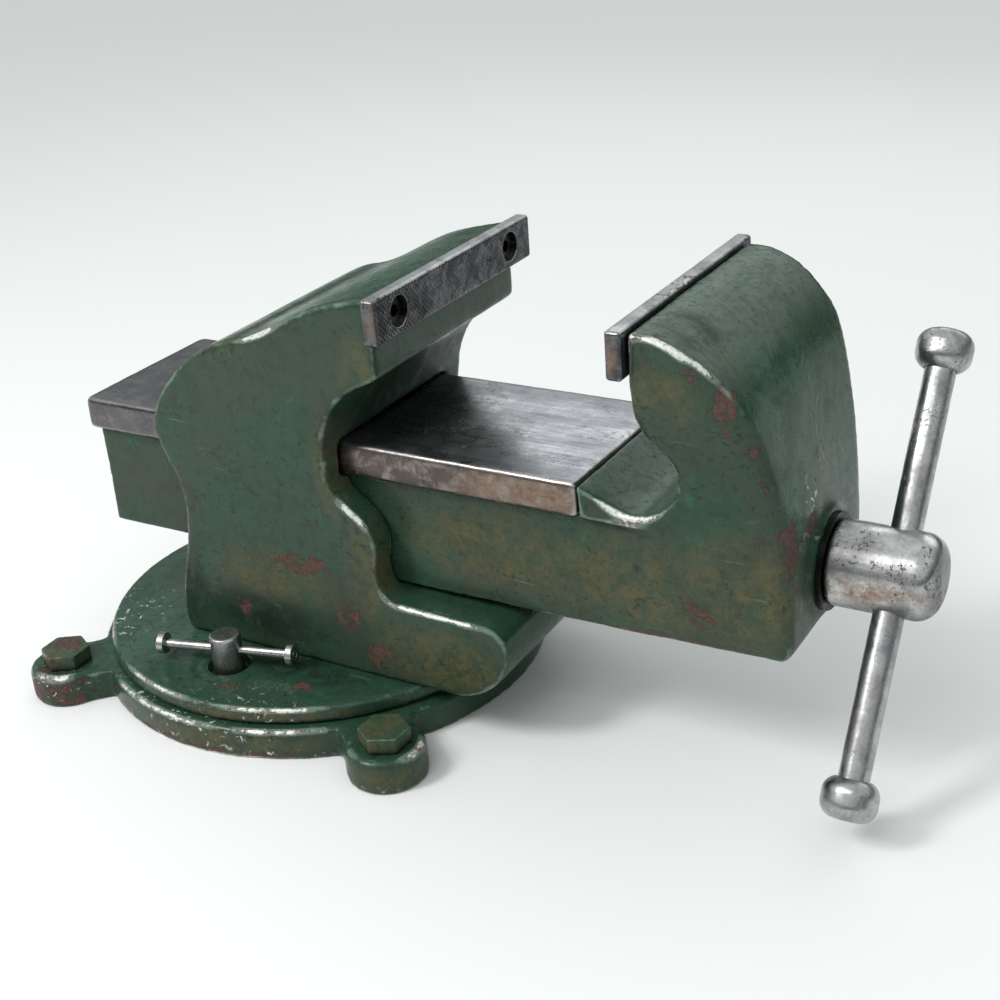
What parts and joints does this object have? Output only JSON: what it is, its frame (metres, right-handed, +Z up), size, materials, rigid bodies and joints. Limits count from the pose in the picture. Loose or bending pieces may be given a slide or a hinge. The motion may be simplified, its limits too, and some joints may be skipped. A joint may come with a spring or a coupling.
{
  "type": "swivel-base bench vise",
  "caption": "Cast bench vise on a round swivel base with lugs, with a sliding front jaw driven by a lead screw and T-handle.",
  "frame": {"origin": "centre of the swivel base on its underside, on the bench top", "axes": "+X along the lead screw towards the handle, +Z up, Y across the jaws"},
  "size_m": [0.4903, 0.2616, 0.2433],
  "materials": {
    "green_paint": "worn glossy green enamel over cast iron, chipped to primer and metal on its edges",
    "bolt_paint": "green paint over steel, chipped, with rust",
    "way_steel": "brushed and scratched along the slide",
    "jaw_steel": "dark hardened steel with a cross-hatched face",
    "bright_steel": "polished by use, with dark pits",
    "dark_steel": "oiled black steel",
    "bronze": "oiled bronze"
  },
  "bodies": {
    "base": {"swivel_base": "green_paint", "mounting_bolts": "bolt_paint", "pivot_bolt": "dark_steel", "pivot_washer": "dark_steel", "pivot_nut": "dark_steel"},
    "vise_body": {"turntable": "green_paint", "turntable_screws": "dark_steel", "lock_nuts": "dark_steel", "fixed_body": "green_paint", "rear_jaw_plate": "jaw_steel", "rear_jaw_screws": "dark_steel", "lead_nut": "bronze", "lead_nut_bolts": "dark_steel"},
    "front_jaw": {"moving_jaw": "green_paint", "slide_plate": "way_steel", "slide_plate_screws": "dark_steel", "front_jaw_plate": "jaw_steel", "front_jaw_screws": "dark_steel", "screw_bush": "bronze", "thrust_washer": "dark_steel"},
    "screw": {"lead_screw": "bright_steel", "screw_collar": "dark_steel", "collar_pin": "dark_steel"},
    "handle": {"handle_bar": "bright_steel", "handle_knob_top": "bright_steel", "handle_knob_bottom": "bright_steel"},
    "near_lock": {"lock_screw_near": "bright_steel"},
    "near_lock_bar": {"lock_bar_near": "bright_steel", "lock_bar_caps_near": "bright_steel"},
    "far_lock": {"lock_screw_far": "bright_steel"},
    "far_lock_bar": {"lock_bar_far": "bright_steel", "lock_bar_caps_far": "bright_steel"}
  },
  "joints": [
    {"name": "swivel", "type": "hinge", "parent": "base", "child": "vise_body", "pos_m": [0, 0, 0], "axis": [0, 0, 1], "continuous": true},
    {"name": "jaw_slide", "type": "slide", "parent": "vise_body", "child": "front_jaw", "axis": [1, 0, 0], "range_m": [-0.1176, 0.0321]},
    {"name": "screw_turn", "type": "hinge", "parent": "front_jaw", "child": "screw", "pos_m": [0, 0, 0.112], "axis": [1, 0, 0], "range_deg": [-7050, 1920]},
    {"name": "handle_slide", "type": "slide", "parent": "screw", "child": "handle", "axis": [0, 0.5736, 0.8192], "range_m": [-0.0748, 0.0748]},
    {"name": "near_lock_turn", "type": "hinge", "parent": "vise_body", "child": "near_lock", "pos_m": [-0.003, -0.086, 0.04], "axis": [0, 0, 1], "range_deg": [-35, 7]},
    {"name": "near_lock_bar_slide", "type": "slide", "parent": "near_lock", "child": "near_lock_bar", "axis": [-0.9703, -0.2419, 0], "range_m": [-0.019, 0.027]},
    {"name": "far_lock_turn", "type": "hinge", "parent": "vise_body", "child": "far_lock", "pos_m": [-0.003, 0.086, 0.04], "axis": [0, 0, 1], "range_deg": [-35, 7]},
    {"name": "far_lock_bar_slide", "type": "slide", "parent": "far_lock", "child": "far_lock_bar", "axis": [0.9703, 0.2419, 0], "range_m": [-0.019, 0.027]}
  ],
  "couplings": [
    {"joint": "jaw_slide", "follows": "screw_turn", "m_per_rad": 0.00095493}
  ]
}
